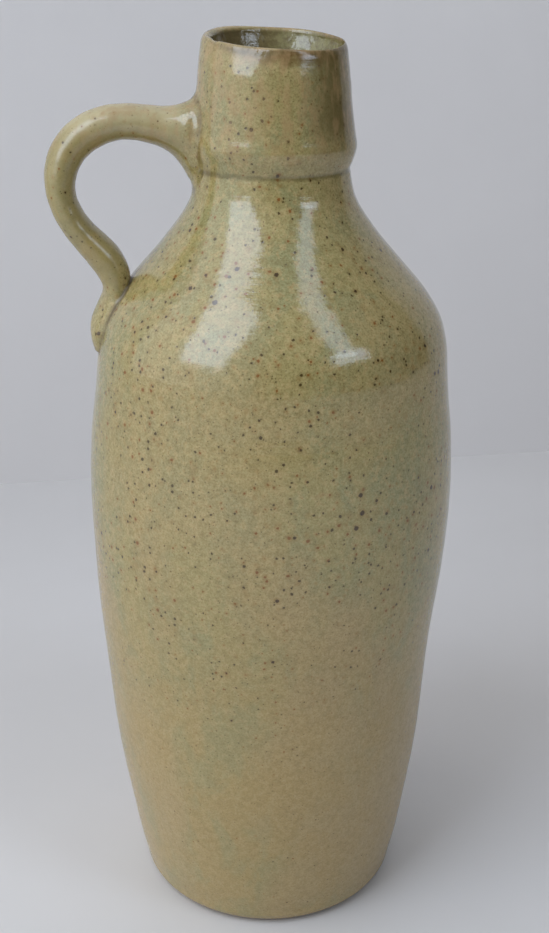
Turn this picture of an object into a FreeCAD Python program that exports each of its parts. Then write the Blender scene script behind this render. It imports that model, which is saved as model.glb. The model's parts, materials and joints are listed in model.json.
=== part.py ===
import FreeCAD, Part
import math
import os

from FreeCAD import Vector

# Stoneware beer bottle: a thrown body with a pulled finger handle, fired as one piece.
# Millimetres. +Z is up along the bottle, the origin is the middle of the base on the
# surface it stands on, and the handle is on the -X side, turned a little towards -Y.

# Height over all, at the middle of the lip
bottle_height = 265.0

# Thrown body: outside radius at each place where the wall changes its course, and that
# place's part of the body's height, counted from the place below it
foot_radius = 41.6
foot_round = 5.4
heel_part = 12.0
heel_radius = 43.1
skirt_part = 12.0
skirt_radius = 45.1
lower_wall_part = 28.0
lower_wall_radius = 49.0
middle_wall_part = 28.0
middle_wall_radius = 51.1
belly_part = 50.0
belly_radius = 54.75
upper_belly_part = 22.0
upper_belly_radius = 53.95
upper_wall_part = 19.0
upper_wall_radius = 51.6
shoulder_part = 16.0
shoulder_radius = 49.1
slope_part = 16.0
slope_radius = 37.9
throat_part = 14.0
throat_radius = 26.3
waist_part = 11.6

# Neck: the bore takes the cork, and the wall round it swells to a collar over the waist
# and then narrows to the lip. Each rise is counted from the place below
bore_radius = 16.4
mouth_widening = 0.8
mouth_flare = 8.0
waist_wall = 4.5
collar_rise = 8.2
collar_proud = 2.4
collar_round = 2.0
neck_rise = 14.2
neck_taper = 2.2
lip_rise = 14.0
lip_taper = 1.2
lip_round = 1.1
lip_fall_right = 2.3
lip_fall_front = 5.7

# Hollow inside: wall thickness is measured square to the outside
wall_heel = 7.0
wall_belly = 5.5
floor_thickness = 8.0
floor_round = 9.0

# Radii that follow from the bore outwards
mouth_radius = bore_radius + mouth_widening
waist_radius = bore_radius + waist_wall
collar_radius = waist_radius + collar_proud
neck_radius = collar_radius - neck_taper
lip_radius = neck_radius - lip_taper

# Heights that follow: the neck stands on the body, which takes the rest of the height
lip_height = bottle_height
neck_height = lip_height - lip_rise
collar_height = neck_height - neck_rise
waist_height = collar_height - collar_rise
body_parts = heel_part + skirt_part + lower_wall_part + middle_wall_part + belly_part
body_parts += upper_belly_part + upper_wall_part + shoulder_part
body_parts += slope_part + throat_part + waist_part
part_height = waist_height / body_parts
heel_height = heel_part * part_height
skirt_height = heel_height + skirt_part * part_height
lower_wall_height = skirt_height + lower_wall_part * part_height
middle_wall_height = lower_wall_height + middle_wall_part * part_height
belly_height = middle_wall_height + belly_part * part_height
upper_belly_height = belly_height + upper_belly_part * part_height
upper_wall_height = upper_belly_height + upper_wall_part * part_height
shoulder_height = upper_wall_height + shoulder_part * part_height
slope_height = shoulder_height + slope_part * part_height
throat_height = slope_height + throat_part * part_height
bore_top = lip_height - mouth_flare

# Pulled handle, ring: how far the middle of the strap stands out from the collar, and how
# high it is over the collar. Thickness is across the strap in the plane of the handle, and
# width is square to that plane
handle_turn = 8.0
strap_width = 14.0
root_over = 2.4
root_thickness = 31.0
flare_out = 1.9
flare_over = 3.8
flare_thickness = 16.2
arch_start_out = 9.7
arch_start_over = 5.2
arch_start_thickness = 10.4
arch_top_out = 18.7
arch_top_over = 5.8
arch_thickness = 9.8
elbow_out = 32.5
elbow_under = 1.4
bend_out = 35.8
drop_out = 30.2
strap_thickness = 8.4
landing_thickness = 9.3

# Where the ring's lower half passes, as shares of the height from shoulder to collar
bend_share = 0.775
drop_share = 0.52
landing_share = 0.325
pinch_share = 0.193

# Pulled handle, tail: how high each place is over or under the shoulder, and how far the
# strap's face stands proud of the body's wall there
landing_proud = 12.8
pinch_proud = 6.0
press_under = 1.0
press_proud = 3.3
press_width = 16.5
tail_end_under = 5.6
tail_end_proud = 0.4
tail_end_thickness = 4.0
tail_end_width = 11.0
thumb_over = 5.5
thumb_turn = 24.0
thumb_radius = 7.5
thumb_depth = 1.2

# Where collar, bore and body cross, each runs this far into the other
crease_tuck = 0.8

# An arc flatter than this is drawn straight, and heights this near each other are the same
straight_within = 0.0005
level_within = 0.01

# How many ovals carry the strap, and how many points each oval has
handle_ribs = 14
rib_points = 12


def spline_through(points, parameters=None):
    curve = Part.BSplineCurve()
    if parameters:
        curve.interpolate(Points=points, Parameters=parameters)
    else:
        curve.interpolate(points)
    return curve


def parameter_at(curve, height):
    """Parameter of a rising curve at a height, found by halving its range."""
    low = curve.FirstParameter
    high = curve.LastParameter
    for _ in range(60):
        middle = (low + high) / 2
        if curve.value(middle).z < height:
            low = middle
        else:
            high = middle
    return (low + high) / 2


def value_at(curve, height):
    return curve.value(parameter_at(curve, height)).x


def spaced(low, high, steps):
    return [low + (high - low) * i / steps for i in range(steps + 1)]


def arc_towards(start, corner, end):
    """Arc that leaves its start towards a corner and reaches its end from that corner."""
    middle = (start + end) / 2
    bulge = corner - middle
    half = (end - start).Length / 2
    rise = half * math.tan(math.atan2(bulge.Length, half) / 2)
    if rise < straight_within:
        return Part.makeLine(start, end)
    return Part.Arc(start, middle + bulge * (rise / bulge.Length), end).toShape()


def arc_pair(start, leaving, end, arriving):
    """Two arcs that run in line with each other and with the directions at both ends."""
    reach = end - start
    ahead = reach.dot(leaving + arriving)
    bending = 2 * (1 - leaving.dot(arriving))
    if bending < 1e-9:
        length = reach.dot(reach) / (2 * ahead)
    else:
        length = (math.sqrt(ahead ** 2 + bending * reach.dot(reach)) - ahead) / bending
    before = start + leaving * length
    after = end - arriving * length
    joint = (before + after) / 2
    return [arc_towards(start, before, joint), arc_towards(joint, after, end)]


def arcs_along(curve, stations):
    """A wall's course as arcs, which touch the curve at its stations."""
    edges = []
    for low, high in zip(stations, stations[1:]):
        leaving = curve.tangent(parameter_at(curve, low.z))[0]
        arriving = curve.tangent(parameter_at(curve, high.z))[0]
        edges += arc_pair(low, leaving, high, arriving)
    return edges


def outer_stations():
    """Outside of the thrown wall from the foot to the waist, as radius and height."""
    return [
        Vector(foot_radius, 0, foot_round),
        Vector(heel_radius, 0, heel_height),
        Vector(skirt_radius, 0, skirt_height),
        Vector(lower_wall_radius, 0, lower_wall_height),
        Vector(middle_wall_radius, 0, middle_wall_height),
        Vector(belly_radius, 0, belly_height),
        Vector(upper_belly_radius, 0, upper_belly_height),
        Vector(upper_wall_radius, 0, upper_wall_height),
        Vector(shoulder_radius, 0, shoulder_height),
        Vector(slope_radius, 0, slope_height),
        Vector(throat_radius, 0, throat_height),
        Vector(waist_radius, 0, waist_height),
        Vector(waist_radius - crease_tuck, 0, waist_height + 4 * crease_tuck),
    ]


def wall_at(height):
    """The thrown wall thins evenly from the heel to the belly, and on to the waist."""
    if height < belly_height:
        share = (height - heel_height) / (belly_height - heel_height)
        return wall_heel + (wall_belly - wall_heel) * share
    share = (height - belly_height) / (waist_height - belly_height)
    return wall_belly + (waist_radius - bore_radius - wall_belly) * share


def inner_stations(outside):
    """Inside of the wall: the outside moved in by the wall, narrowing to the bore."""
    points = [Vector(heel_radius - wall_heel, 0, floor_thickness + floor_round)]
    for station in outer_stations()[2:-2]:
        along = outside.tangent(parameter_at(outside, station.z))[0]
        inward = Vector(-along.z, 0, along.x)
        points.append(station + inward * wall_at(station.z))
    points.append(Vector(bore_radius, 0, waist_height))
    points.append(Vector(bore_radius - crease_tuck, 0, waist_height + 4 * crease_tuck))
    return points


def turned(stations, bottom, corner):
    """Solid turned from a wall's stations, with a flat bottom and a rounded corner."""
    start = stations[0]
    end = stations[-1]
    low = Vector(start.x - corner, 0, bottom)
    round_middle = Vector(
        low.x + corner * math.sin(math.radians(45)),
        0,
        bottom + corner * (1 - math.cos(math.radians(45))),
    )
    edges = [
        Part.makeLine(Vector(0, 0, bottom), low),
        Part.Arc(low, round_middle, Vector(start.x, 0, bottom + corner)).toShape(),
    ]
    edges += arcs_along(spline_through(stations), stations)
    edges += [
        Part.makeLine(end, Vector(0, 0, end.z)),
        Part.makeLine(Vector(0, 0, end.z), Vector(0, 0, bottom)),
    ]
    return Part.Face(Part.Wire(edges)).revolve(Vector(0, 0, 0), Vector(0, 0, 1), 360)


def neck():
    """Collar and tapered neck, left too tall for the lip to be cut."""
    spare_height = lip_height + lip_radius
    spare_radius = lip_radius - (neck_radius - lip_radius)
    taper = Part.Arc(
        Vector(collar_radius, 0, collar_height),
        Vector(neck_radius, 0, neck_height),
        Vector(lip_radius, 0, lip_height),
    )
    root_slope = (collar_height - waist_height) / (collar_radius - waist_radius)
    root_radius = waist_radius - crease_tuck
    neck_root = waist_height - root_slope * crease_tuck
    outline = Part.Wire([
        Part.makeLine(Vector(0, 0, neck_root), Vector(root_radius, 0, neck_root)),
        Part.makeLine(
            Vector(root_radius, 0, neck_root),
            Vector(collar_radius, 0, collar_height),
        ),
        taper.toShape(),
        Part.makeLine(
            Vector(lip_radius, 0, lip_height),
            Vector(spare_radius, 0, spare_height),
        ),
        Part.makeLine(Vector(spare_radius, 0, spare_height), Vector(0, 0, spare_height)),
        Part.makeLine(Vector(0, 0, spare_height), Vector(0, 0, neck_root)),
    ])
    wall = Part.Face(outline).revolve(Vector(0, 0, 0), Vector(0, 0, 1), 360)
    ridge = [
        edge
        for edge in wall.Edges
        if abs(edge.BoundBox.ZMin - collar_height) < level_within
        and abs(edge.BoundBox.ZMax - collar_height) < level_within
    ]
    return wall.makeFillet(collar_round, ridge)


def neck_bore():
    """Straight bore for the cork, opening slightly towards the lip."""
    bottom = waist_height - 4 * crease_tuck
    flare_height = lip_height - bore_top
    growth = (mouth_radius - bore_radius) / flare_height
    past = flare_height + lip_radius
    straight = Part.makeCylinder(bore_radius, bore_top - bottom, Vector(0, 0, bottom))
    wide = bore_radius + growth * past
    flare = Part.makeCone(bore_radius, wide, past, Vector(0, 0, bore_top))
    return straight.fuse(flare)


def slope_off_lip(shape):
    """Cuts the lip along its sloping plane and rounds both of its edges."""
    size = 4 * lip_height
    block = Part.makeBox(size, size, size, Vector(-size / 2, -size / 2, 0))
    block.rotate(Vector(0, 0, 0), Vector(0, 1, 0), lip_fall_right)
    block.rotate(Vector(0, 0, 0), Vector(1, 0, 0), lip_fall_front)
    block.translate(Vector(0, 0, lip_height))
    sloped = shape.cut(block)
    top = max(sloped.Faces, key=lambda face: face.CenterOfMass.z)
    rounding = min(lip_round, 0.45 * (lip_radius - mouth_radius))
    return sloped.makeFillet(rounding, top.Edges)


def lying_on(outside, height, proud, thickness):
    """Middle of the strap where its face stands proud of the body's wall."""
    return Vector(value_at(outside, height) + proud - thickness / 2, 0, height)


def over_collar(out, over):
    """Middle of the strap by its place out from the collar and over it."""
    return Vector(collar_radius + out, 0, collar_height + over)


def between(share):
    """Height that is a share of the way from the shoulder up to the collar."""
    return shoulder_height + share * (collar_height - shoulder_height)


def handle_stations(outside):
    """Middle of the strap, its thickness and its width, from the neck to the tail's end."""
    press_height = shoulder_height - press_under
    end_height = shoulder_height - tail_end_under
    root = Vector((bore_radius + waist_radius) / 2, 0, collar_height + root_over)
    flare = over_collar(flare_out, flare_over)
    arch_start = over_collar(arch_start_out, arch_start_over)
    arch_top = over_collar(arch_top_out, arch_top_over)
    elbow = over_collar(elbow_out, -elbow_under)
    bend = Vector(collar_radius + bend_out, 0, between(bend_share))
    drop = Vector(collar_radius + drop_out, 0, between(drop_share))
    landing = lying_on(outside, between(landing_share), landing_proud, landing_thickness)
    pinch = lying_on(outside, between(pinch_share), pinch_proud, strap_thickness)
    press = lying_on(outside, press_height, press_proud, strap_thickness)
    end = lying_on(outside, end_height, tail_end_proud, tail_end_thickness)
    return [
        (root, root_thickness, strap_width),
        (flare, flare_thickness, strap_width),
        (arch_start, arch_start_thickness, strap_width),
        (arch_top, arch_thickness, strap_width),
        (elbow, arch_thickness, strap_width),
        (bend, strap_thickness, strap_width),
        (drop, strap_thickness, strap_width),
        (landing, landing_thickness, strap_width),
        (pinch, strap_thickness, strap_width),
        (press, strap_thickness, press_width),
        (end, tail_end_thickness, tail_end_width),
    ]


def handle_curves(outside):
    """The strap's route, and its thickness and width along the same parameter."""
    stations = handle_stations(outside)
    places = [0.0]
    for (before, _, _), (after, _, _) in zip(stations, stations[1:]):
        places.append(places[-1] + before.distanceToPoint(after))
    route = spline_through([station[0] for station in stations], places)
    sizes = [
        Vector(thickness, width, place)
        for (_, thickness, width), place in zip(stations, places)
    ]
    girth = spline_through(sizes, places)
    return route, girth, places[-1]


def rib(route, girth, place):
    """One closed oval across the strap."""
    middle = route.value(place)
    along = route.tangent(place)[0]
    across = Vector(-along.z, 0, along.x)
    thickness, width, _ = girth.value(place)
    points = []
    for i in range(rib_points):
        turn = 2 * math.pi * i / rib_points
        side = Vector(0, math.sin(turn) * width / 2, 0)
        points.append(middle + across * (math.cos(turn) * thickness / 2) + side)
    oval = Part.BSplineCurve()
    turns = [float(i) for i in range(rib_points + 1)]
    oval.interpolate(Points=points, PeriodicFlag=True, Parameters=turns)
    return Part.Wire(oval.toShape())


def thumb_press(route, girth, length):
    """Ball that the potter's thumb stands for, sunk into the flank of the tail."""
    places = spaced(0, length, 400)
    thumb_height = shoulder_height + thumb_over
    place = next(p for p in places[200:] if route.value(p).z < thumb_height)
    along = route.tangent(place)[0]
    outward = Vector(-along.z, 0, along.x)
    if outward.x < 0:
        outward = outward * -1
    half = girth.value(place).x / 2
    middle = route.value(place)
    turn = math.radians(thumb_turn)
    away = outward * math.cos(turn) + Vector(0, math.sin(turn), 0)
    centre = middle + away * (half + thumb_radius - thumb_depth)
    return Part.makeSphere(thumb_radius, centre)


def handle(outside):
    """Pulled strap: flared on to the neck, bent to a ring and pressed on the shoulder."""
    route, girth, length = handle_curves(outside)
    ribs = [rib(route, girth, place) for place in spaced(0, length, handle_ribs)]
    strap = Part.makeLoft(ribs, True, False)
    strap = strap.cut(thumb_press(route, girth, length))
    strap.rotate(Vector(0, 0, 0), Vector(0, 0, 1), 180 + handle_turn)
    return strap


def bottle():
    outside = spline_through(outer_stations())
    body = turned(outer_stations(), 0, foot_round)
    hollow = turned(inner_stations(outside), floor_thickness, floor_round)
    neck_wall = slope_off_lip(neck().cut(neck_bore()))
    whole = body.fuse([neck_wall, handle(outside)])
    whole = whole.cut(hollow).cut(neck_bore())
    return whole.Solids[0] if len(whole.Solids) == 1 else whole


os.makedirs("parts", exist_ok=True)
shape = bottle()
shape.exportStep("parts/bottle.step")
print("solids", len(shape.Solids), "valid", shape.isValid())
print("box", shape.BoundBox)
print("volume", shape.Volume)
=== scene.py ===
# %% [markdown]
# This scene dresses the imported model of a stoneware beer bottle. Everything below is in
# metres and in the model's own frame: +Z is up, the origin is the middle of the base,
# and the handle is on the -X side. We load the plain model first, and the dressed one
# stays inside it.

# %% Load the frame
import json
import math

import bmesh
import bpy
import numpy as np
from mathutils import Matrix, Vector
from mathutils.kdtree import KDTree

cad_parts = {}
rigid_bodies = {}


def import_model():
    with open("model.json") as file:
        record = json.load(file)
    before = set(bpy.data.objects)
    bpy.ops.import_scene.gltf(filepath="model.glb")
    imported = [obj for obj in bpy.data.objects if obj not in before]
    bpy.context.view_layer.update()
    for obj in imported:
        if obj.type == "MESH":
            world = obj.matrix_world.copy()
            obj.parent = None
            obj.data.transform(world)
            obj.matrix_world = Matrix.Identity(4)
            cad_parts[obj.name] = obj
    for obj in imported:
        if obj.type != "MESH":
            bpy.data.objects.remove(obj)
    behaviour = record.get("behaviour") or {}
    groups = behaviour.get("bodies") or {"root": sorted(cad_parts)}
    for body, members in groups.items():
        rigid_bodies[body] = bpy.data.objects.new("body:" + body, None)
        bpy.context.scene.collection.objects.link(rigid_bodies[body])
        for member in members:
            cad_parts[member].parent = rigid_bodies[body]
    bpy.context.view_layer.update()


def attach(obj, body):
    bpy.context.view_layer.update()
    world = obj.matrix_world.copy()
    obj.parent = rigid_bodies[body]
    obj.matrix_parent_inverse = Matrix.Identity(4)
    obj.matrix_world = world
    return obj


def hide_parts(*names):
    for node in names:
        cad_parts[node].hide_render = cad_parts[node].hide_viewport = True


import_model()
MM = 0.001

# %% [markdown]
# A thrown wall has no corners, so a few radii and heights can describe all of it. A smooth
# curve through them gives the rest. Blender's own curve objects could carry it, but here
# we also need the same curve for the strap's route and for its changing width. So we write
# one small helper: a cubic curve whose bending dies out at both ends, which is what a
# springy batten does when it is pinned at a few points.

# %% A batten through pins
def batten(pins, samples, places=None):
    """Points on the smooth curve through the pins; places are the pins' own parameters."""
    pins = np.array(pins, float)
    if places is None:
        steps = np.linalg.norm(np.diff(pins, axis=0), axis=1)
        places = np.concatenate([[0], np.cumsum(steps)])
    gaps = np.diff(places)
    count = len(pins)
    matrix = np.eye(count)
    right = np.zeros_like(pins)
    for i in range(1, count - 1):
        matrix[i, i - 1] = gaps[i - 1]
        matrix[i, i] = 2 * (gaps[i - 1] + gaps[i])
        matrix[i, i + 1] = gaps[i]
        after = (pins[i + 1] - pins[i]) / gaps[i]
        before = (pins[i] - pins[i - 1]) / gaps[i - 1]
        right[i] = 6 * (after - before)
    bend = np.linalg.solve(matrix, right)
    where = np.linspace(places[0], places[-1], samples)
    i = np.clip(np.searchsorted(places, where, side="right") - 1, 0, count - 2)
    gap = gaps[i][:, None]
    a = (places[i + 1] - where)[:, None] / gap
    b = (where - places[i])[:, None] / gap
    curve = a * pins[i] + b * pins[i + 1]
    curve += ((a**3 - a) * bend[i] + (b**3 - b) * bend[i + 1]) * gap**2 / 6
    return curve


print("a batten through three pins:", batten([(0, 0), (1, 1), (2, 0)], 3).round(2).tolist())

# %% [markdown]
# A batten's points crowd where its pins do. For a mesh we want them spaced by the
# millimetre, so a second helper walks along the line and sets them anew. A third gives
# the points of an arc, for the few places that a sponge or a tool made round.

# %% Even spacing and arcs
def evenly(line, step):
    """The same line with points a step apart, and both of its ends kept."""
    lengths = np.linalg.norm(np.diff(line, axis=0), axis=1)
    along = np.concatenate([[0], np.cumsum(lengths)])
    count = max(2, int(round(along[-1] / step)) + 1)
    at = np.linspace(0, along[-1], count)
    return np.column_stack([np.interp(at, along, line[:, k]) for k in range(line.shape[1])])


def arc(middle, radius, start, end, count):
    """Points of an arc in the outline's plane, from one angle in degrees to another."""
    turns = np.radians(np.linspace(start, end, count))
    return np.column_stack([
        middle[0] + radius * np.cos(turns),
        middle[1] + radius * np.sin(turns),
    ])


print("a quarter arc ends at", arc((0, 0), 1, 0, 90, 5)[-1].round(3).tolist())

# %% [markdown]
# The body was thrown on a wheel: a heavy foot, a slow swell up to the belly, a round
# shoulder, and a waist where the thrower's finger ran under the collar. Each pin is a
# radius and a height in millimetres, read from the base up. The foot's lower edge was
# rounded with a sponge.

# %% Outside of the body
body_pins = [
    (41.6, 5.4),
    (43.1, 12.0),
    (45.1, 24.0),
    (49.0, 52.0),
    (51.1, 80.0),
    (54.75, 130.0),
    (53.95, 152.0),
    (51.6, 171.0),
    (49.1, 187.0),
    (37.9, 203.0),
    (26.3, 217.0),
    (22.5, 224.0),
    (21.5, 228.6),
]
foot_round = 5.4
base_radius = body_pins[0][0] - foot_round
body_wall = batten(body_pins, 1200)
base_disc = np.array([(r, 0.0) for r in np.linspace(4, base_radius, 8)])
foot = arc((base_radius, foot_round), foot_round, -90, 0, 10)
print("belly", round(float(body_wall[:, 0].max()), 2), "mm in radius")

# %% [markdown]
# Above the waist comes the collar, a low ridge that gave the string of a cork something to
# hold on to, and then the neck, which narrows a little towards the lip. A tool or a
# fingernail left a thin groove under the collar, where the glaze runs together and
# looks darker. The last few millimetres of the neck round over into the lip.

# %% Collar, neck and lip
waist_height = 228.6
lip_height = 265.0
groove = np.array([(21.45, 229.5), (21.15, 230.4), (21.25, 231.2), (21.7, 232.1)])
collar = batten([(21.7, 232.1), (22.55, 234.6), (22.95, 236.6), (22.55, 239.6)], 24)
neck = batten(
    [(22.55, 239.6), (21.8, 244.5), (21.1, 251.0), (20.5, 258.0), (19.95, 262.2)], 80)
lip = batten([(19.95, 262.2), (19.5, 264.2), (18.75, 265.0), (18.05, 264.6), (17.8, 263.4)], 16)
print("neck", round(float(neck[:, 0].max()), 2), "to", round(float(neck[:, 0].min()), 2), "mm")

# %% [markdown]
# The mouth is open, so we look into it and the inside must be there: a straight bore that
# the cork gripped, the hollow under the shoulder, and a floor. The inside is the outside
# moved in by the wall, which thins on the way up because the thrower pulled it up.

# %% Inside of the bottle
bore_radius = 16.4
floor_thickness = 8.0
floor_round = 9.0
heel_height = 12.0
heel_wall = 7.0
belly_height = 130.0
belly_wall = 5.5


def wall_at(height):
    """Thickness of the thrown wall at a height."""
    if height < belly_height:
        fallen = (heel_wall - belly_wall) * (height - heel_height)
        return heel_wall - fallen / (belly_height - heel_height)
    share = (height - belly_height) / (waist_height - belly_height)
    return belly_wall + (body_pins[-1][0] - bore_radius - belly_wall) * share


def moved_in(height):
    """Point of the inside that lies square behind the outside at a height."""
    i = int(np.argmin(abs(body_wall[:, 1] - height)))
    along = body_wall[i + 1] - body_wall[i - 1]
    along = along / np.linalg.norm(along)
    return body_wall[i] + np.array([-along[1], along[0]]) * wall_at(height)


inner_heel = body_pins[1][0] - heel_wall
inside_pins = [(inner_heel, floor_thickness + floor_round)]
inside_pins += [tuple(moved_in(height)) for _, height in body_pins[2:-1]]
inside_pins += [(bore_radius, waist_height)]
inside_wall = batten(inside_pins, 600)
flat_floor = inner_heel - floor_round
floor_corner = arc((flat_floor, floor_thickness + floor_round), floor_round, -90, 0, 10)
floor_disc = np.array([(r, floor_thickness) for r in np.linspace(5, flat_floor, 6)])
bore = batten([
    (17.8, 263.4), (17.15, 261.2), (16.65, 258.8), (16.42, 255.5),
    (bore_radius, 240.0), (bore_radius, waist_height),
], 60)
flared_part = 40
print("inside", round(float(inside_wall[:, 0].max()), 2), "mm in radius")

# %% [markdown]
# Now the outline is one line, from the middle of the base round the lip and down to the
# middle of the floor. We space its points closely where the eye looks, and wider inside.
# Turning a line with the Screw modifier would do, but then every ring would be the same
# circle. Turning it in code lets each ring be a little off, as a hand left it.

# %% One outline
outside_line = np.vstack([
    base_disc[:-1],
    foot[:-1],
    evenly(body_wall, 1.25)[:-1],
    [tuple(body_wall[-1])],
    groove[:-1],
    evenly(collar, 0.7)[:-1],
    evenly(neck, 1.1)[:-1],
    evenly(lip, 0.35),
])
inside_line = np.vstack([
    evenly(bore[:flared_part], 1.0)[1:],
    evenly(bore[flared_part:], 3.0)[:-1],
    evenly(inside_wall[::-1], 3.0)[:-1],
    floor_corner[::-1][:-1],
    floor_disc[::-1],
])
outline = np.vstack([outside_line, inside_line])
is_outside = np.arange(len(outline)) < len(outside_line)
print("rings", len(outline), "of them outside", len(outside_line))

# %% [markdown]
# Nobody throws a perfect circle. Three things are off here: the lower body bows to the
# left by up to 0.9 mm, fingers left shallow rings that climb the wall, and the wall has
# slow dents. Each is a function of the height and of the turn round the axis.

# %% The hand in the clay
bow_pins = np.array([
    (0, 0.0), (20, -0.15), (48, -0.5), (63, -0.7), (82, -0.9), (95, -0.85), (113, -0.3),
    (130, 0.0), (150, 0.05), (180, 0.25), (205, 0.25), (222, 0.05), (232, 0.0), (270, 0.0),
])
bow_line = batten(bow_pins, 600)
wide_ring, wide_depth = 9.5, 0.07
fine_ring, fine_depth = 3.1, 0.028
shoulder_middle = 195.0


def bow(height):
    """How far the middle of a ring lies off the axis."""
    return np.interp(height, bow_line[:, 0], bow_line[:, 1])


def throwing_rings(height, turn):
    """Depth of the finger marks, which climb as a spiral and are deepest on the shoulder."""
    climb = turn / (2 * math.pi)
    wide = np.sin(2 * math.pi * (height / wide_ring + climb) + 0.8 * np.sin(height / 17))
    fine = np.sin(2 * math.pi * (height / fine_ring + climb) + 1.7 * np.sin(height / 11))
    on_shoulder = np.exp(-(((height - shoulder_middle) / 30) ** 2))
    return (wide_depth * (0.5 + 0.5 * wide) * (0.35 + 0.65 * on_shoulder)
            + fine_depth * (0.5 + 0.5 * fine) * (0.25 + 0.75 * on_shoulder))


def hand_waver(height, turn):
    """Slow dents of a hand-thrown wall, from nothing to about a third of a millimetre."""
    a = np.sin(2 * turn + 0.9 + height / 61)
    b = np.sin(3 * turn - 1.3 + height / 37)
    c = np.sin(5 * turn + 2.1 - height / 23)
    return 0.16 + 0.08 * a + 0.05 * b + 0.03 * c


print("rings at the shoulder are",
      round(float(throwing_rings(shoulder_middle, 0.0)), 3), "mm deep")

# %% [markdown]
# The lip has a hand in it too. It slopes towards the front and the right and waves a
# little, and a thumb eased it over at its front left, so that the neck rounds off there.
# We could pull the points about with a brush in sculpt mode, but a few lines of sums give
# the same lip each time, and its numbers can be changed.

# %% The hand at the lip
lip_fall_right = math.tan(math.radians(2.8))
lip_fall_front = math.tan(math.radians(5.7))
slope_from = 243.0
thumb_from, thumb_run = 256.8, 6.6
thumb_depth, thumb_spread = 1.25, 0.62
thumb_turn = math.radians(90 + 24)


def thumbed_lip(height, turn):
    """How far the thumb pressed the neck in, at a height and a turn."""
    share = min(1.0, max(0.0, (height - thumb_from) / thumb_run))
    away = np.angle(np.exp(1j * (turn + thumb_turn)))
    return thumb_depth * share * share * np.exp(-((away / thumb_spread) ** 2))


def lip_slope(x, y, height, turn):
    """How far a point near the lip is lifted or lowered."""
    share = np.clip((height - slope_from) / (lip_height - slope_from), 0, 1)
    share = share * share * (3 - 2 * share)
    wave = 0.12 * np.sin(3 * turn + 0.4) + 0.1 * np.sin(5 * turn + 2.0) - 0.24
    return share * (-x * lip_fall_right + y * lip_fall_front + wave)


print("the lip's right side is", round(2 * lip[0, 0] * lip_fall_right, 2), "mm lower")

# %% [markdown]
# Now each point of the outline becomes a ring. What the hand wore away is taken off the
# radius, and a little is added all over to keep the mean size. It isn't added at the
# belly, the widest place, because the dressed bottle has to stay inside the plain one.
# The mouth was opened a little to the right of the neck's middle, so the inside moves too.

# %% Turn the outline
around = 176
flat_base_to, foot_run = 0.5, 12.0
calm_from, calm_share = 255.0, 0.4
mean_gain = 0.22
belly_guard, guard_edge = 53.9, 6.0
mouth_shift = 0.95
mouth_shift_from, mouth_shift_run = 240.0, 23.0
crown_from, crown_radius, crown_run = 262.0, 19.0, 1.2


def ring_of(radius, height, outer, turns):
    """The points of one ring of the bottle, in millimetres."""
    worn = 0.0
    if outer and height > flat_base_to:
        fade = min(1.0, height / foot_run) * (1.0 if height < calm_from else calm_share)
        worn = fade * (throwing_rings(height, turns) + hand_waver(height, turns))
        worn = worn - fade * mean_gain / (1 + math.exp((radius - belly_guard) * guard_edge))
        worn = worn + thumbed_lip(height, turns)
    shift = bow(height)
    if not outer and height > mouth_shift_from:
        shift += mouth_shift * min(1.0, (height - mouth_shift_from) / mouth_shift_run)
    if outer and height > crown_from and radius < crown_radius:
        shift += mouth_shift * (crown_radius - radius) / crown_run
    x = (radius - worn) * np.cos(turns) + shift
    y = (radius - worn) * np.sin(turns)
    z = height + lip_slope(x, y, height, turns)
    return np.column_stack([x, y, z * np.ones(around)])


def turned_bottle():
    """Vertices and faces of the turned bottle, closed at the two poles on the axis."""
    turns = 2 * math.pi * np.arange(around) / around
    corners = [ring_of(radius, height, outer, turns)
               for (radius, height), outer in zip(outline, is_outside)]
    points = np.vstack(corners + [[(0, 0, 0)], [(0, 0, floor_thickness)]]) * MM
    faces = []
    for ring in range(len(outline) - 1):
        low = ring * around
        high = low + around
        for i in range(around):
            j = (i + 1) % around
            faces.append((low + i, low + j, high + j, high + i))
    bottom = len(points) - 2
    middle_floor = len(points) - 1
    last = (len(outline) - 1) * around
    for i in range(around):
        j = (i + 1) % around
        faces.append((bottom, j, i))
        faces.append((middle_floor, last + i, last + j))
    return points, faces


def new_piece(name, points, faces):
    """A mesh object from points and faces, in the scene's own collection."""
    mesh = bpy.data.meshes.new(name)
    mesh.from_pydata([tuple(p) for p in points], [], faces)
    mesh.update()
    piece = bpy.data.objects.new(name, mesh)
    bpy.context.scene.collection.objects.link(piece)
    return piece


bottle = new_piece("bottle_stoneware", *turned_bottle())
print("turned body:", len(bottle.data.vertices), "points,", len(bottle.data.polygons), "faces")

# %% [markdown]
# The handle was pulled, not thrown: a lump of clay drawn through a wet hand into a strap,
# luted on to the collar, bent over into a ring and pressed on the shoulder. So it is swept:
# an oval travels along a route, and its thickness and width change with it. It flares where
# it meets the neck, and ends in a tail that a thumb pressed down. Each pin gives the reach
# from the axis, the height, the thickness in the plane of the ring, the width across it,
# and how far the strap's middle lies across that plane. The last three are counted from
# the wall: how far the strap stands out from it, less half of the strap's thickness.

# %% Route and girth of the strap
handle_turn = math.radians(180 + 8)


def outer_radius(height):
    """Radius of the body's outside at a height."""
    return float(np.interp(height, body_wall[:, 1], body_wall[:, 0]))


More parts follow.
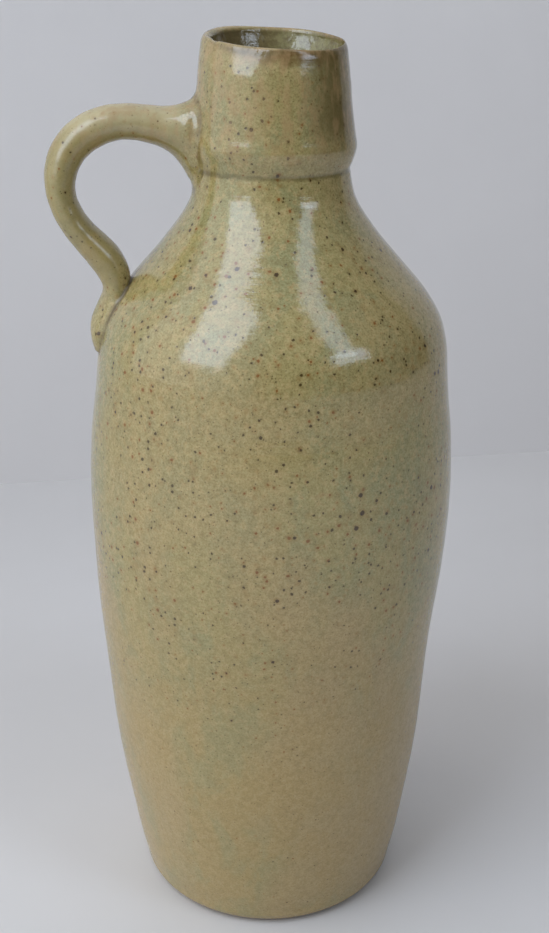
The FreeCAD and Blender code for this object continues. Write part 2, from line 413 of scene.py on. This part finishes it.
strap_pins = [
    (18.65, 239.2, 31.0, 18.6, 0.0),
    (25.2, 240.6, 16.2, 15.2, -0.8),
    (33.0, 242.1, 10.4, 13.2, -1.6),
    (42.4, 242.9, 9.8, 13.2, -1.6),
    (56.0, 235.8, 9.8, 13.2, -0.9),
    (59.0, 225.6, 8.4, 13.2, 0.0),
    (53.5, 212.9, 8.4, 13.2, 0.0),
    (45.9, 203.2, 9.3, 13.2, 0.0),
    (outer_radius(197.0) + 5.6 - 4.1, 197.0, 8.2, 13.2, 0.0),
    (outer_radius(187.0) + 3.5 - 4.2, 187.0, 8.4, 15.4, 0.0),
    (outer_radius(179.2) + 0.9 - 2.2, 179.2, 4.4, 10.0, 0.0),
]
pin_route = np.array([pin[:2] for pin in strap_pins])
pin_steps = np.linalg.norm(np.diff(pin_route, axis=0), axis=1)
pin_places = np.concatenate([[0], np.cumsum(pin_steps)])
strap_curve = batten(strap_pins, 150, pin_places)
print("the strap is", round(float(pin_places[-1]), 1), "mm long")

# %% [markdown]
# A pulled strap keeps a faint ripple from the hand that drew it. It fades out towards the
# neck, where the strap was thumbed on. The ovals are a little fuller at their shoulders
# than an ellipse, and both ends are closed, because the Boolean below wants closed forms.

# %% Sweep the strap
strap_sides = 48
ripple_free = 20


def at_handle(reach, across, height):
    """A point given by its reach in the plane of the ring, its place across, its height."""
    return (
        reach * math.cos(handle_turn) - across * math.sin(handle_turn),
        reach * math.sin(handle_turn) + across * math.cos(handle_turn),
        height,
    )


def swept_strap():
    """Ovals across the route and the faces between them."""
    route = strap_curve[:, :2]
    ahead = np.gradient(route, axis=0)
    ahead /= np.linalg.norm(ahead, axis=1)[:, None]
    turns = 2 * math.pi * np.arange(strap_sides) / strap_sides
    points = []
    for k, (reach, height, thickness, width, across) in enumerate(strap_curve):
        ripple = 0.06 * math.sin(k * 0.31) + 0.05 * math.sin(k * 0.83 + 1)
        ripple *= min(1.0, k / ripple_free)
        off = (thickness / 2 - 0.05 + ripple * 0.5) * np.cos(turns)
        side = (width / 2 - 0.05 + ripple) * np.sin(turns)
        side = side * (1 + 0.035 * np.cos(turns) ** 2) + across
        in_plane = reach - ahead[k, 1] * off
        z = height + ahead[k, 0] * off
        points.append(np.column_stack(at_handle(in_plane, side, z)))
    points = np.vstack(points) * MM
    faces = []
    for k in range(len(strap_curve) - 1):
        low = k * strap_sides
        high = low + strap_sides
        for i in range(strap_sides):
            j = (i + 1) % strap_sides
            faces.append((low + i, low + j, high + j, high + i))
    faces.append(tuple(reversed(range(strap_sides))))
    faces.append(tuple(range(len(points) - strap_sides, len(points))))
    return points, faces


strap = new_piece("strap", *swept_strap())
print("strap:", len(strap.data.vertices), "points")

# %% [markdown]
# The thumb that pressed the tail down left a shallow hollow in its flank. We push the
# strap's points in under a round thumb, with a soft edge, before joining it.

# %% Press the thumb in
def press(piece, centre, radius, depth, direction):
    """Moves the points near a centre along a direction, most in the middle."""
    centre = np.array(centre)
    direction = np.array(direction) / np.linalg.norm(direction)
    moved = 0
    for vertex in piece.data.vertices:
        gap = np.linalg.norm(np.array(vertex.co) / MM - centre)
        if gap < radius:
            share = (1 - (gap / radius) ** 2) ** 2
            vertex.co += Vector(direction * depth * share * MM)
            moved += 1
    return moved


thumb_at = at_handle(outer_radius(190) + 2.4, 4.5, 191.5)
thumb_push = (0.62, 0.6, -0.1)
print("thumb hollow moved", press(strap, thumb_at, 8.0, 1.5, thumb_push), "points")

# %% [markdown]
# Clay luted to clay is one piece, so the two meshes become one too. A Boolean union finds
# the line where they meet and throws away what is buried in the wall. It relies on faces
# that look outwards, so we see to that first.

# %% Lute the strap to the body
def faces_out(piece):
    """Makes all faces of a closed mesh look outwards."""
    shell = bmesh.new()
    shell.from_mesh(piece.data)
    bmesh.ops.recalc_face_normals(shell, faces=shell.faces)
    shell.to_mesh(piece.data)
    shell.free()


faces_out(bottle)
faces_out(strap)
joining = bottle.modifiers.new("luting", "BOOLEAN")
joining.operation = "UNION"
joining.solver = "EXACT"
joining.object = strap
bpy.context.view_layer.update()
seen = bottle.evaluated_get(bpy.context.evaluated_depsgraph_get())
joined_mesh = bpy.data.meshes.new_from_object(seen)
bottle.modifiers.clear()
bottle.data = joined_mesh
bpy.data.objects.remove(strap)
print("joined:", len(bottle.data.vertices), "points,", len(bottle.data.polygons), "faces")

# %% [markdown]
# The luting line is a sharp inner corner now, and slip and glaze fill such a corner. So we
# look for it, edge by edge, and smooth the points round it: a little everywhere, more
# where the strap flares on to the neck, and more at the pinch above the tail. How near a
# point is to the corner is kept in the mesh, because the glaze will want to know it.

# %% Smooth the luting line and remember where it is
luting_reach = 1.6
luting_fade = 1.3
corner_angle = math.radians(17)
handle_side = -14 * MM
handle_foot = 170 * MM
neck_luting_from = 218 * MM
pinch_low, pinch_high = 187 * MM, 199 * MM


def inner_corners(shell):
    """Middles of the sharp, hollow edges on the handle's side."""
    found = []
    for edge in shell.edges:
        if len(edge.link_faces) != 2:
            continue
        middle = (edge.verts[0].co + edge.verts[1].co) / 2
        if middle.x > handle_side or middle.z < handle_foot:
            continue
        if edge.calc_face_angle(0) > corner_angle and edge.is_convex is False:
            found.append(middle.copy())
    return found


def soften_luting(piece):
    """Smooths round the inner corners, and keeps how near each point is to one."""
    shell = bmesh.new()
    shell.from_mesh(piece.data)
    layer = shell.verts.layers.float.new("luting")
    bmesh.ops.remove_doubles(shell, verts=shell.verts, dist=0.02 * MM)
    corners = inner_corners(shell)
    tree = KDTree(max(1, len(corners)))
    for i, corner in enumerate(corners):
        tree.insert(corner, i)
    tree.balance()
    gaps = {}
    for vertex in shell.verts:
        _, index, gap = tree.find(vertex.co)
        gaps[vertex] = gap / MM if index is not None else 99.0
    near = [v for v, gap in gaps.items() if gap < luting_reach]
    wide = [v for v, gap in gaps.items() if gap < 2 * luting_reach]
    at_neck = [v for v in wide if v.co.z > neck_luting_from]
    at_pinch = [v for v in wide if pinch_low < v.co.z < pinch_high]
    for chosen, rounds in ((near, 5), (at_neck, 22), (at_pinch, 14)):
        for _ in range(rounds):
            bmesh.ops.smooth_vert(shell, verts=chosen, factor=0.5, use_axis_x=True,
                                  use_axis_y=True, use_axis_z=True)
    for vertex, gap in gaps.items():
        vertex[layer] = math.exp(-((gap / luting_fade) ** 2))
    shell.to_mesh(piece.data)
    shell.free()
    return len(corners), len(near)


print("luting line edges and softened points:", soften_luting(bottle))
for face in bottle.data.polygons:
    face.use_smooth = True

# %% [markdown]
# Now the glaze. A material is a net of nodes, and writing each node by hand soon gets
# long, so a few helpers come first: one that adds a node and wires it, some for
# arithmetic, and one that turns a value into a soft mask between two limits.

# %% Helpers for nodes
def put(tree, kind, inputs=None, **settings):
    """Adds a node; an input that is a socket is wired, any other value is written in."""
    node = tree.nodes.new(kind)
    for name, value in settings.items():
        setattr(node, name, value)
    for name, value in (inputs or {}).items():
        if isinstance(value, bpy.types.NodeSocket):
            tree.links.new(value, node.inputs[name])
        else:
            node.inputs[name].default_value = value
    return node


def calc(tree, operation, a, b=0.0):
    """One sum, such as ADD or POWER, of two values."""
    return put(tree, "ShaderNodeMath", {0: a, 1: b}, operation=operation).outputs[0]


def times(tree, first, *others):
    """The product of two or more values."""
    for other in others:
        first = calc(tree, "MULTIPLY", first, other)
    return first


def mask(tree, value, start, end, low=0.0, high=1.0):
    """A soft step: low where the value is at start, high where it is at end."""
    inputs = {"Value": value, "From Min": start, "From Max": end, "To Min": low, "To Max": high}
    return put(tree, "ShaderNodeMapRange", inputs, interpolation_type="SMOOTHSTEP").outputs[0]


print("helpers for numbers are ready")

# %% [markdown]
# The same for colours and places: a helper lays one colour over another, one gives a
# noise, and two stretch or scale a place. Colours are written as a picture shows them,
# from 0 to 255, and one line turns them into amounts of light.

# %% Helpers for colours and places
def tint(tree, share, under, over):
    """Lays one colour over another."""
    inputs = {0: share, 6: under, 7: over}
    return put(tree, "ShaderNodeMix", inputs, data_type="RGBA").outputs[2]


def noise(tree, place, scale, detail=2.0, rough=0.5, warp=0.0):
    """A noise between 0 and 1; scale is in patches for each unit of the place."""
    inputs = {"Vector": place, "Scale": scale, "Detail": detail, "Roughness": rough,
              "Distortion": warp}
    return put(tree, "ShaderNodeTexNoise", inputs).outputs["Fac"]


def stretched(tree, place, x, y, z):
    """The place with each of its axes scaled on its own."""
    return put(tree, "ShaderNodeMapping", {"Vector": place, "Scale": (x, y, z)}).outputs[0]


def scaled(tree, place, scale):
    """The place, or any three numbers, times one scale."""
    inputs = {0: place, "Scale": scale}
    return put(tree, "ShaderNodeVectorMath", inputs, operation="SCALE").outputs[0]


def paint(red, green, blue):
    """A colour as a picture shows it, 0 to 255, turned into light, 0 to 1."""
    shown = [c / 255 for c in (red, green, blue)]
    light = [c / 12.92 if c < 0.04045 else ((c + 0.055) / 1.055) ** 2.4 for c in shown]
    return tuple(light) + (1.0,)


print("khaki as light:", [round(c, 3) for c in paint(170, 160, 120)])

# %% [markdown]
# Iron spots are grains in the clay that melt through the glaze. In space they are small
# balls, and the surface cuts through them at random, so some spots are big and some are
# only dots. A Voronoi texture in three dimensions is just that: every cell has one point,
# and where the surface comes nearer to it than the grain's radius, there is a spot. We need
# this at four sizes, so it becomes a node group with named inputs.

# %% A group for grains
def grain_group():
    """Spots of one size: inputs are the place in millimetres, spacing, radius and softness."""
    tree = bpy.data.node_groups.new("iron grains", "ShaderNodeTree")
    for name, kind in (("Place", "NodeSocketVector"), ("Spacing", "NodeSocketFloat"),
                       ("Radius", "NodeSocketFloat"), ("Edge", "NodeSocketFloat")):
        tree.interface.new_socket(name=name, in_out="INPUT", socket_type=kind)
    for name in ("Spot", "Halo"):
        tree.interface.new_socket(name=name, in_out="OUTPUT", socket_type="NodeSocketFloat")
    given = tree.nodes.new("NodeGroupInput").outputs
    scale = calc(tree, "DIVIDE", 1.0, given["Spacing"])
    cells = put(tree, "ShaderNodeTexVoronoi", {"Vector": given["Place"], "Scale": scale})
    gap = times(tree, cells.outputs["Distance"], given["Spacing"])
    chance = put(tree, "ShaderNodeSeparateColor", {"Color": cells.outputs["Color"]})
    radius = times(tree, given["Radius"],
                   mask(tree, chance.outputs["Red"], 0.0, 1.0, 0.35, 1.25))
    inner = times(tree, radius, calc(tree, "SUBTRACT", 1.0, given["Edge"]))
    result = tree.nodes.new("NodeGroupOutput").inputs
    tree.links.new(mask(tree, gap, radius, inner), result["Spot"])
    tree.links.new(mask(tree, gap, times(tree, radius, 2.4), radius), result["Halo"])
    return tree


iron_grains = grain_group()


def grains(tree, place, spacing, radius, edge):
    """Places the group and gives back its spot and halo."""
    inputs = {"Place": place, "Spacing": spacing, "Radius": radius, "Edge": edge}
    node = put(tree, "ShaderNodeGroup", inputs, node_tree=iron_grains)
    return node.outputs["Spot"], node.outputs["Halo"]


print("group", iron_grains.name, "has", len(iron_grains.nodes), "nodes")

# %% [markdown]
# The glaze itself is a thin, slightly runny ash glaze over a grey clay. Its colour drifts:
# khaki where it lies evenly, greenish grey where it is thick, pinkish tan where it is thin
# and the clay warms it. Two slow noises do that, stretched a little along the height.
# Towards the foot the tan takes over, though a greenish cloud still shows through.

# %% The glaze: slow drifts of colour
glaze = bpy.data.materials.new("glazed_stoneware_khaki")
glaze.use_nodes = True
net = glaze.node_tree
net.nodes.clear()

where = put(net, "ShaderNodeTexCoord").outputs["Object"]
place = scaled(net, where, 1 / MM)
axes = put(net, "ShaderNodeSeparateXYZ", {0: place})
x_mm, y_mm, z_mm = axes.outputs[0], axes.outputs[1], axes.outputs[2]
radius_mm = calc(net, "SQRT", calc(net, "ADD", times(net, x_mm, x_mm), times(net, y_mm, y_mm)))

tall_place = stretched(net, place, 1, 1, 0.55)
drift = noise(net, tall_place, 0.022, 3.0, 0.55)
cloud = noise(net, tall_place, 0.085, 4.0, 0.6, 0.4)
khaki = paint(163, 150, 98)
pink_tan = paint(174, 149, 102)
grey_green = paint(148, 145, 100)
foot_tan = paint(170, 144, 90)

colour = tint(net, mask(net, cloud, 0.42, 0.6), khaki, grey_green)
tan_share = times(net, mask(net, drift, 0.45, 0.6), mask(net, z_mm, 110.0, 150.0, 0.85, 0.4))
colour = tint(net, tan_share, colour, pink_tan)
low_tan = times(net, mask(net, z_mm, 145.0, 60.0, 0.0, 0.85),
                mask(net, cloud, 0.6, 0.4, 0.45, 1.0))
colour = tint(net, low_tan, colour, foot_tan)
print("glaze has", len(net.nodes), "nodes with its drifts")

# %% [markdown]
# Close up the glaze is grainy: tan and olive flecks a millimetre or two wide, and finer
# dust, dark and milky. It shows most on the upper body. The strap was pulled smooth and
# has less of it. The top of the strap is painted paler, a painted light from above, and
# its lower part is painted darker, a painted shade.

# %% The glaze: fine grain, and painted light and shade on the strap
fleck = noise(net, place, 0.5, 5.0, 0.7)
dust = noise(net, place, 1.7, 3.0, 0.7)
off_shoulder = times(net, mask(net, radius_mm, 42.0, 45.5), mask(net, z_mm, 194.0, 200.0))
off_neck = times(net, mask(net, radius_mm, 24.0, 29.0), mask(net, z_mm, 221.0, 228.0))
on_strap = calc(net, "MAXIMUM", off_shoulder, off_neck)
grainy = times(net, mask(net, z_mm, 30.0, 180.0, 0.8, 1.3),
               mask(net, on_strap, 0.0, 1.0, 1.0, 0.4))

for source, start, end, strength, shade in (
    (fleck, 0.49, 0.62, 0.55, paint(181, 158, 108)),
    (fleck, 0.5, 0.38, 0.34, paint(134, 119, 74)),
    (dust, 0.45, 0.68, 0.4, paint(118, 98, 56)),
    (dust, 0.5, 0.28, 0.3, paint(186, 174, 128)),
):
    share = times(net, mask(net, source, start, end), grainy, strength)
    colour = tint(net, share, colour, shade)

# Painted shade: the strap's lower part is painted darker.
painted_shade_strap_low = times(net, on_strap, mask(net, z_mm, 244.0, 234.0, 0.0, 0.3))
colour = tint(net, painted_shade_strap_low, colour, paint(142, 120, 66))
# Painted light: the top of the strap is painted paler, as if lit from above.
painted_light_strap_top = times(net, on_strap, mask(net, z_mm, 238.0, 246.0, 0.0, 0.6))
colour = tint(net, painted_light_strap_top, colour, paint(203, 189, 150))
print("glaze has", len(net.nodes), "nodes with its grain")

# %% [markdown]
# The spots come in four sizes: many small ones, some big ones, rusty ones with a soft
# edge, and freckles that go down to the foot. They could be painted on one by one, but
# the group gives thousands, on all sides alike. A fine jitter of the place keeps them from
# being round. A slow noise makes them crowd in some places, and there are fewer low down
# and on the strap. Iron bleeds into the glaze, so all but the freckles have a faint halo.

# %% The glaze: iron spots
crowd = times(net, mask(net, z_mm, 60.0, 135.0, 0.4, 1.0),
              mask(net, noise(net, place, 0.045, 2.0), 0.3, 0.62, 0.6, 1.15),
              mask(net, on_strap, 0.0, 1.0, 1.0, 0.6))
jitter_inputs = {"Vector": place, "Scale": 1.9, "Detail": 2.0}
jitter = scaled(net, put(net, "ShaderNodeTexNoise", jitter_inputs).outputs["Color"], 0.55)
grit = put(net, "ShaderNodeVectorMath", {0: place, 1: jitter}, operation="ADD").outputs[0]


def elsewhere(x, y, z):
    """The same place moved, so that the next grains lie elsewhere."""
    return put(net, "ShaderNodeVectorMath", {0: grit, 1: (x, y, z)}, operation="ADD").outputs[0]


freckle = mask(net, z_mm, 10.0, 130.0, 0.22, 0.25)
small_spot, small_halo = grains(net, grit, 2.15, times(net, crowd, 0.42), 0.38)
big_spot, big_halo = grains(net, elsewhere(31, 17, 5), 5.6, times(net, crowd, 0.64), 0.3)
rust_spot, rust_halo = grains(net, elsewhere(3, 71, 29), 2.8, times(net, crowd, 0.5), 0.5)
tiny_spot, _ = grains(net, elsewhere(7, 53, 11), 1.25, freckle, 0.6)

for spot, strength, shade in (
    (rust_halo, 0.28, paint(150, 112, 60)),
    (rust_spot, 0.85, paint(124, 72, 24)),
    (big_halo, 0.3, paint(132, 98, 48)),
    (small_halo, 0.2, paint(118, 98, 56)),
    (tiny_spot, 0.62, paint(86, 70, 38)),
    (small_spot, 0.88, paint(62, 45, 18)),
    (big_spot, 0.9, paint(56, 35, 12)),
):
    colour = tint(net, times(net, spot, strength), colour, shade)
print("glaze has", len(net.nodes), "nodes with its spots")

# %% [markdown]
# The glaze ran thin over the lip. It left a ragged brown band just below, strongest at the
# front right, and a pale line on the edge itself. A painted mask could hold them, but one
# worked out from the place has no seam and needs no unwrapping. Both follow the slope of
# the lip, so we measure the height from the sloping lip instead of from the base.

# %% The glaze: lip
fall = calc(net, "ADD", times(net, x_mm, lip_fall_right), times(net, y_mm, -lip_fall_front))
above = calc(net, "ADD", calc(net, "SUBTRACT", z_mm, lip_height), fall)
front_right = mask(net, calc(net, "SUBTRACT", x_mm, y_mm), -10.0, 26.0, 0.12, 1.0)
ragged = times(net, calc(net, "SUBTRACT", noise(net, place, 0.35, 3.0), 0.5), 6.0)
band = mask(net, calc(net, "ADD", above, ragged), -5.4, -1.0)
colour = tint(net, times(net, band, front_right, 0.9), colour, paint(97, 70, 30))
patchy = mask(net, noise(net, place, 0.16, 3.0), 0.38, 0.6, 0.15, 0.75)
edge_line = times(net, mask(net, above, -0.7, -0.3), patchy)
colour = tint(net, edge_line, colour, paint(186, 166, 120))
print("glaze has", len(net.nodes), "nodes with its lip")

# %% [markdown]
# On the neck the glaze ran down. There are thin dark streaks, kept to the right side, where
# they are partly glaze runs and partly painted shade. Over the right side lies a painted shade,
# and there are warm, pinkish patches drawn out downwards. A run is a noise whose place is
# squeezed along the height before it is read, which draws its patches out. Inside the mouth the
# colour is brown on the left and green on the right, and mottled. Both are painted darker than
# the outside as shade, the left most.

# %% The glaze: neck and mouth, with painted shade
# Dark streaks on the right side of the neck: partly glaze runs, partly painted shade.
dark_streaks_and_shade = mask(net, noise(net, stretched(net, place, 1, 1, 0.07), 0.55, 3.0, 0.6), 0.5, 0.68)
dark_streaks_and_shade = times(net, dark_streaks_and_shade, mask(net, z_mm, 236.0, 256.0), mask(net, x_mm, 2.0, 15.0), 0.5)
colour = tint(net, dark_streaks_and_shade, colour, paint(92, 74, 38))
# Painted shade: the right side of the neck is painted darker.
painted_shade_neck_right = times(net, mask(net, z_mm, 232.0, 246.0), mask(net, x_mm, 6.0, 17.0, 0.1, 0.85),
                  mask(net, cloud, 0.3, 0.6, 0.7, 1.0))
colour = tint(net, painted_shade_neck_right, colour, paint(102, 88, 50))
runs = mask(net, noise(net, stretched(net, place, 1, 1, 0.4), 0.3, 4.0, 0.65), 0.44, 0.64)
warm_runs = times(net, runs, mask(net, z_mm, 231.0, 242.0, 0.0, 0.45))
colour = tint(net, warm_runs, colour, paint(172, 140, 98))

# Painted shade inside the mouth: darker colours, darkest on the left; the dark mottle is the
# glaze's own.
within = times(net, mask(net, radius_mm, 19.2, 18.4), mask(net, z_mm, 225.0, 240.0))
well = tint(net, mask(net, x_mm, -8.0, 6.0), paint(112, 96, 62), paint(138, 134, 88))
well = tint(net, mask(net, fleck, 0.42, 0.6, 0.0, 0.65), well, paint(84, 74, 44))
below_edge = mask(net, above, -0.5, -1.6, 0.0, 0.8)
colour = tint(net, times(net, within, below_edge), colour, well)
print("glaze has", len(net.nodes), "nodes with its neck")

# %% [markdown]
# The edges are left. The groove under the collar is painted dark: a painted shade, where the
# glaze also pools. The foot is painted a darker brown in its last few millimetres, and the
# base was wiped bare. Along the luting line the glaze is darker and uneven. In the corner
# itself the dark is partly pooled glaze and partly painted shade. In the pinch between
# the strap and the shoulder it is a painted shade, the darkest. No height gives that line,
# so here we read what the mesh kept about it.

# %% The glaze: groove, foot and luting line, with painted shade
# Painted shade in the groove under the collar, where the glaze also pools.
groove_line = times(net, mask(net, z_mm, 229.4, 230.4), mask(net, z_mm, 231.7, 230.7),
                    mask(net, radius_mm, 23.0, 22.0), 0.5)
colour = tint(net, groove_line, colour, paint(84, 76, 42))
# The last few millimetres of the foot are painted a darker brown.
browner_foot_edge = times(net, mask(net, z_mm, 3.4, 0.8), 0.75)
colour = tint(net, browner_foot_edge, colour, paint(140, 112, 58))
bare = mask(net, z_mm, 0.35, 0.1)
colour = tint(net, bare, colour, paint(164, 142, 108))

luting = put(net, "ShaderNodeAttribute", attribute_name="luting").outputs["Fac"]
pooled = mask(net, noise(net, place, 0.3, 3.0), 0.36, 0.62, 0.25, 1.0)
colour = tint(net, times(net, luting, pooled, 0.3), colour, paint(126, 108, 62))
# Painted shade in the corner of the luting line, partly pooled glaze.
crease = times(net, calc(net, "POWER", luting, 4.0), pooled, 0.55)
colour = tint(net, crease, colour, paint(88, 68, 34))
# Painted shade in the pinch between the strap and the shoulder.
pinch = times(net, mask(net, z_mm, 184.0, 192.0), mask(net, z_mm, 209.0, 204.0),
              calc(net, "POWER", luting, 3.0), 0.7)
colour = tint(net, pinch, colour, paint(74, 56, 28))
print("glaze has", len(net.nodes), "nodes with all its colours")

# %% [markdown]
# Gloss sells a glaze. The shoulder and neck are wet looking, the lower body is more of a
# satin, because the glaze lay thinner there. So roughness follows the height, with a
# little noise. The strap, the lip and the pinch are duller, and the bare base is dull.

# %% The glaze: gloss
satin = mask(net, z_mm, 60.0, 190.0, 0.235, 0.105)
for more in (
    mask(net, fleck, 0.3, 0.7, -0.015, 0.03),
    times(net, off_shoulder, 0.13),
    mask(net, above, -9.0, -2.0, 0.0, 0.06),
    times(net, pinch, 0.5),
):
    satin = calc(net, "ADD", satin, more)
gloss = put(net, "ShaderNodeMix", {0: bare, 2: satin, 3: 0.85}, data_type="FLOAT").outputs[0]
print("glaze has", len(net.nodes), "nodes with its gloss")

# %% [markdown]
# Relief is four things: faint turning lines, the skin of an orange at two scales, pits
# where the small iron spots sit, and a stronger unevenness inside the mouth. All of it is
# far too fine for the mesh, so a bump node tilts the light instead. Each depth is in
# millimetres, and the bump node's distance turns them into metres.

# %% The glaze: relief
turning = noise(net, stretched(net, place, 0.02, 0.02, 1), 0.75, 4.0, 0.6)
peel = noise(net, place, 0.55, 2.0, 0.5)
skin = noise(net, place, 2.2, 2.0, 0.6)
relief = calc(net, "ADD", times(net, turning, 0.045), times(net, peel, 0.035))
relief = calc(net, "ADD", relief, times(net, skin, 0.006))
relief = calc(net, "SUBTRACT", relief, times(net, small_spot, 0.012))
relief = calc(net, "ADD", relief, times(net, peel, within, 0.16))
bumped = put(net, "ShaderNodeBump", {"Strength": 1.0, "Distance": MM, "Height": relief})
shader = put(net, "ShaderNodeBsdfPrincipled", {
    "Base Color": colour,
    "Roughness": gloss,
    "IOR": 1.66,
    "Normal": bumped.outputs[0],
})
put(net, "ShaderNodeOutputMaterial", {"Surface": shader.outputs[0]})
bottle.data.materials.clear()
bottle.data.materials.append(glaze)
print("glaze finished with", len(net.nodes), "nodes")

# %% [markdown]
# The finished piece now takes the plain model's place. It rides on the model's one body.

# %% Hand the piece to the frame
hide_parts("bottle")
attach(bottle, "root")
print("bottle:", len(bottle.data.vertices), "points")

# %% [markdown]
# The set is plain: a pale table top and a pale board behind it, turned a little. Both take
# light like paper would, so the bottle's soft shadow falls on the table. Blender's own
# plane would do, but a sheet made from four corners can stand on any line. The board lets
# itself be seen through from behind, so that it hides nothing when we walk round.

# %% Sheets and their paper
def sheet(name, corners, cuts=12):
    """A large flat sheet, cut into a grid so that it isn't one single face."""
    a, b, c, d = [np.array(p, float) for p in corners]
    points = []
    for i in range(cuts + 1):
        for j in range(cuts + 1):
            u, v = i / cuts, j / cuts
            points.append((1 - u) * (1 - v) * a + u * (1 - v) * b + u * v * c + (1 - u) * v * d)
    row = cuts + 1
    faces = [(i * row + j, (i + 1) * row + j, (i + 1) * row + j + 1, i * row + j + 1)
             for i in range(cuts) for j in range(cuts)]
    return new_piece(name, points, faces)


def paper(name, pale, rough, one_sided=False):
    """A dull pale surface with a faint unevenness."""
    material = bpy.data.materials.new(name)
    material.use_nodes = True
    tree = material.node_tree
    tree.nodes.clear()
    spot = put(tree, "ShaderNodeTexCoord").outputs["Object"]
    uneven = mask(tree, noise(tree, spot, 9.0, 4.0), 0.3, 0.7)
    shaded = tuple(c * 0.965 for c in pale[:3]) + (1.0,)
    inputs = {"Base Color": tint(tree, uneven, pale, shaded), "Roughness": rough}
    surface = put(tree, "ShaderNodeBsdfPrincipled", inputs).outputs[0]
    if one_sided:
        clear = put(tree, "ShaderNodeBsdfTransparent").outputs[0]
        behind = put(tree, "ShaderNodeNewGeometry").outputs["Backfacing"]
        surface = put(tree, "ShaderNodeMixShader", {0: behind, 1: surface, 2: clear}).outputs[0]
    put(tree, "ShaderNodeOutputMaterial", {"Surface": surface})
    return material


print("sheets and paper are ready")

# %% [markdown]
# The photo shows where the board meets the table: a line that runs a little away from us
# towards the right. Two points of that line, read off with the camera, place the board.

# %% Table and board
half = 1.6
table = sheet("table", [(-half, -half, 0), (half, -half, 0), (half, half, 0), (-half, half, 0)])
table.data.materials.append(paper("table_paper", paint(219, 216, 214), 0.5))

line_left, line_right = np.array((-0.150, 0.318)), np.array((0.160, 0.375))
beyond = (line_right - line_left) / np.linalg.norm(line_right - line_left) * 0.9
left_x, left_y = line_left - beyond
right_x, right_y = line_right + beyond
board_height = 1.2
board = sheet("board", [(left_x, left_y, 0), (right_x, right_y, 0),
                        (right_x, right_y, board_height), (left_x, left_y, board_height)])
board.data.materials.append(paper("board_paper", paint(229, 225, 223), 0.6, one_sided=True))
print("the board is", round(math.hypot(right_x - left_x, right_y - left_y), 2), "m long")

# %% [markdown]
# A glaze shows what stands around it. One tall window on the left of the camera and two
# panes of another on the right make the bright shapes on the shoulder. We found where they
# stand by mirroring the line of sight about the surface at the corners of each shape.
# Their light is soft because they are large, and cool because it is daylight.

# %% Windows
def window(name, turn, climb, width, height, radiance):
    """An area light a metre from the shoulder, facing it. Angles are in degrees: turn is
    from the front towards the right, climb is up from level."""
    t, c = math.radians(turn), math.radians(climb)
    towards = Vector((math.sin(t) * math.cos(c), -math.cos(t) * math.cos(c), math.sin(c)))
    lamp = bpy.data.lights.new(name, "AREA")
    lamp.shape = "RECTANGLE"
    lamp.size = width
    lamp.size_y = height
    lamp.energy = radiance * math.pi * width * height
    lamp.color = (0.85, 0.98, 1.17)
    holder = bpy.data.objects.new(name, lamp)
    bpy.context.scene.collection.objects.link(holder)
    holder.location = Vector((0, 0, 0.2)) + towards
    holder.rotation_euler = (-towards).to_track_quat("-Z", "Y").to_euler()
    holder.visible_camera = False


window("window_left", -47, 41.5, 0.54, 0.93, 3.0)
window("window_right", 53, 46, 0.23, 0.80, 2.0)
window("window_right_low", 54, 24, 0.42, 0.22, 2.7)
print("three panes are lit")

# %% [markdown]
# The rest of the room is pale. It is brightest on the left, where the walls catch the
# window's light, and bright overhead and behind, which lights the top of the strap. The
# right side is dim. The camera itself sees an even grey where the board ends.

# %% The room
room = bpy.data.worlds.new("room")
bpy.context.scene.world = room
room.use_nodes = True
room_net = room.node_tree
room_net.nodes.clear()
generated = put(room_net, "ShaderNodeTexCoord").outputs["Generated"]
direction = put(room_net, "ShaderNodeSeparateXYZ", {0: generated}).outputs
to_right, to_back, upwards = direction[0], direction[1], direction[2]

left_walls = mask(room_net, to_right, -1.0, 0.15, 1.2, 0.02)
ceiling = times(room_net, mask(room_net, upwards, 0.1, 0.9, 0.0, 0.38),
                mask(room_net, to_right, 0.7, -0.2, 0.3, 1.0))
high_behind = times(room_net, mask(room_net, upwards, 0.3, 0.85, 0.0, 0.6),
                    mask(room_net, to_back, -0.2, 0.5), mask(room_net, to_right, 0.5, -0.1))
bright = calc(room_net, "ADD", calc(room_net, "ADD", left_walls, ceiling), high_behind)

lit_inputs = {"Color": (1.0, 1.0, 1.0, 1.0), "Strength": bright}
lit_room = put(room_net, "ShaderNodeBackground", lit_inputs).outputs[0]
seen_inputs = {"Color": (0.52, 0.525, 0.54, 1.0), "Strength": 1.0}
seen_room = put(room_net, "ShaderNodeBackground", seen_inputs).outputs[0]
by_camera = put(room_net, "ShaderNodeLightPath").outputs["Is Camera Ray"]
either = put(room_net, "ShaderNodeMixShader", {0: by_camera, 1: lit_room, 2: seen_room})
put(room_net, "ShaderNodeOutputWorld", {"Surface": either.outputs[0]})
print("the room has", len(room_net.nodes), "nodes")

# %% [markdown]
# The camera stands close, about two centimetres higher than the lip, and looks down by
# 22 degrees. Its place and lens come from the curves of the base, the groove and the lip
# in the photo, and it is tipped by half a degree.

# %% Camera
camera_at = (0.00105, -0.35775, 0.2849)
down = math.radians(22.0)
tip = math.radians(0.5)
camera_data = bpy.data.cameras.new("camera")
camera_data.lens = 48.69
camera_data.sensor_width = 36.0
camera_data.sensor_fit = "AUTO"
camera = bpy.data.objects.new("camera", camera_data)
bpy.context.scene.collection.objects.link(camera)
level_right = Vector((1, 0, 0))
level_up = Vector((0, math.sin(down), math.cos(down)))
side = level_right * math.cos(tip) + level_up * math.sin(tip)
top = level_up * math.cos(tip) - level_right * math.sin(tip)
backwards = side.cross(top)
camera.matrix_world = Matrix((
    (side.x, top.x, backwards.x, camera_at[0]),
    (side.y, top.y, backwards.y, camera_at[1]),
    (side.z, top.z, backwards.z, camera_at[2]),
    (0, 0, 0, 1),
))
bpy.context.scene.camera = camera
bpy.context.scene.view_settings.view_transform = "Standard"
print("camera looks along", [round(c, 3) for c in -backwards])
